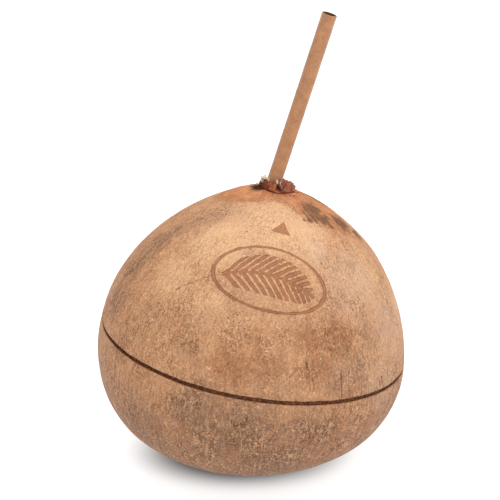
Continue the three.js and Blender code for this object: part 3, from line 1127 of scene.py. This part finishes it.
def paper_material():
    """Kraft paper with soft mottle, pulp, a faint line along the spiral seam, and painted shade inside the
    tube.
    """
    shader = Shader("paper")
    mottle = shader.noise(3.2 * MM, 3.0, 0.6, at=shader.mapped("wrap"))
    pulp = shader.noise(0.35 * MM, 3.0, 0.7, at=shader.mapped("wrap"))
    fibres = shader.noise(0.5 * MM, 2.0, 0.6, 0.8, at=shader.mapped("wrap", 0.3))
    colour = shader.blend(mottle.ease(0.3, 0.7), (174, 126, 93), (194, 141, 101))
    colour = shader.blend(pulp.ease(0.62, 0.4) * 0.25, colour, (150, 104, 72), "MULTIPLY")
    colour = shader.layers(colour, (
        (fibres.ease(0.66, 0.8) * 0.3, (216, 176, 140)),
        (abs(shader.attribute("seam") - 0.5).ease(0.465, 0.495) * 0.4, (140, 92, 60)),
        # Painted shade down the inside of the tube.
        (shader.attribute("inside") * 0.9, (56, 32, 18)),
    ))
    shader.surface.inputs["Sheen Weight"].default_value = 0.6
    shader.surface.inputs["Sheen Roughness"].default_value = 0.4
    return shader.finish(colour, 0.72 + 0.12 * pulp, pulp + fibres * 0.5, 0.03 * MM, 0.25)


def floor_material():
    """A white table that glows evenly, with a painted contact shadow: its glow fades under the coconut."""
    shader = Shader("floor_white")
    tone = shader.noise(0.6, 2.0)
    colour = shader.blend(tone * 0.1, (168, 168, 168), (164, 164, 165))
    x = shader.along((-4 * MM, 0, 0), (1 / SHADE_STRETCH, 0, 0))
    y = shader.along((0, 0, 0), (0, 1, 0))
    reach = (x * x + y * y).math("SQRT")
    # Painted contact shadow: the table's glow fades out round the coconut's foot.
    glow = reach.ease(SHADE_INNER, SHADE_OUTER) * TABLE_GLOW
    shader.surface.inputs["Emission Color"].default_value = (1, 1, 1, 1)
    shader.feed(shader.surface.inputs["Emission Strength"], glow)
    return shader.finish(colour, 0.7, tone, 0.0, 0.0)


# ---- Studio ----

TABLE_GLOW = 0.8
SHADE_STRETCH, SHADE_INNER, SHADE_OUTER = 1.25, 18, 41  # mm from the middle of the painted contact shadow
FLOOR_HALF = 60.0
LAMPS = (  # name, place, size in metres and power in watts
    ("overhead", (0.3, 0.2, 2.2), 5.0, 118.0),
    ("front", (0.5, -1.9, 1.3), 1.0, 16.0),
)
WORLD_STRENGTH = 0.22


def make_floor():
    """A flat white table, far wider than the coconut."""
    corners = [(x * FLOOR_HALF, y * FLOOR_HALF, 0) for x, y in ((-1, -1), (1, -1), (1, 1), (-1, 1))]
    floor = mesh_object("floor", corners, [(0, 1, 2, 3)])
    floor.data.materials.append(floor_material())


def aimed(name, data, place, direction):
    """A lamp or camera at a place, looking along a direction."""
    made = bpy.data.objects.new(name, data)
    made.location = place
    made.rotation_mode = "QUATERNION"
    made.rotation_quaternion = direction.to_track_quat("-Z", "Y")
    bpy.context.scene.collection.objects.link(made)
    return made


def make_studio():
    """The table, round white softboxes that look at the coconut, and a white world."""
    make_floor()
    for name, place, size, power in LAMPS:
        data = bpy.data.lights.new(name, "AREA")
        data.shape = "DISK"
        data.size = size
        data.energy = power
        aimed(name, data, Vector(place), (cad_low + cad_high) / 2 - Vector(place))
    world = bpy.data.worlds.new("white_room")
    world.use_nodes = True
    background = world.node_tree.nodes["Background"]
    background.inputs["Color"].default_value = (1, 1, 1, 1)
    background.inputs["Strength"].default_value = WORLD_STRENGTH
    bpy.context.scene.world = world
    bpy.context.scene.view_settings.view_transform = "Standard"


def make_camera():
    """The photograph's viewing angle: from the front, 18 degrees down."""
    data = bpy.data.cameras.new("camera")
    data.lens = LENS
    data.sensor_width = SENSOR
    aim = Vector((AIM_RIGHT, 0, AIM_HEIGHT))
    back = Vector((0, -cos(VIEW_ELEVATION), sin(VIEW_ELEVATION)))
    bpy.context.scene.camera = aimed("camera", data, aim + back * VIEW_DISTANCE, -back)


# ---- The object ----

make_camera()
make_studio()

coconut = make_coconut()
coconut.data.materials.append(shell_material())
torn_husk = make_torn_husk()
torn_husk.data.materials.append(torn_husk_material())
straw = make_straw()
straw.data.materials.append(paper_material())

for piece, slot in ((coconut, "shell"), (torn_husk, "shell"), (straw, "paper")):
    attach(piece, "root")
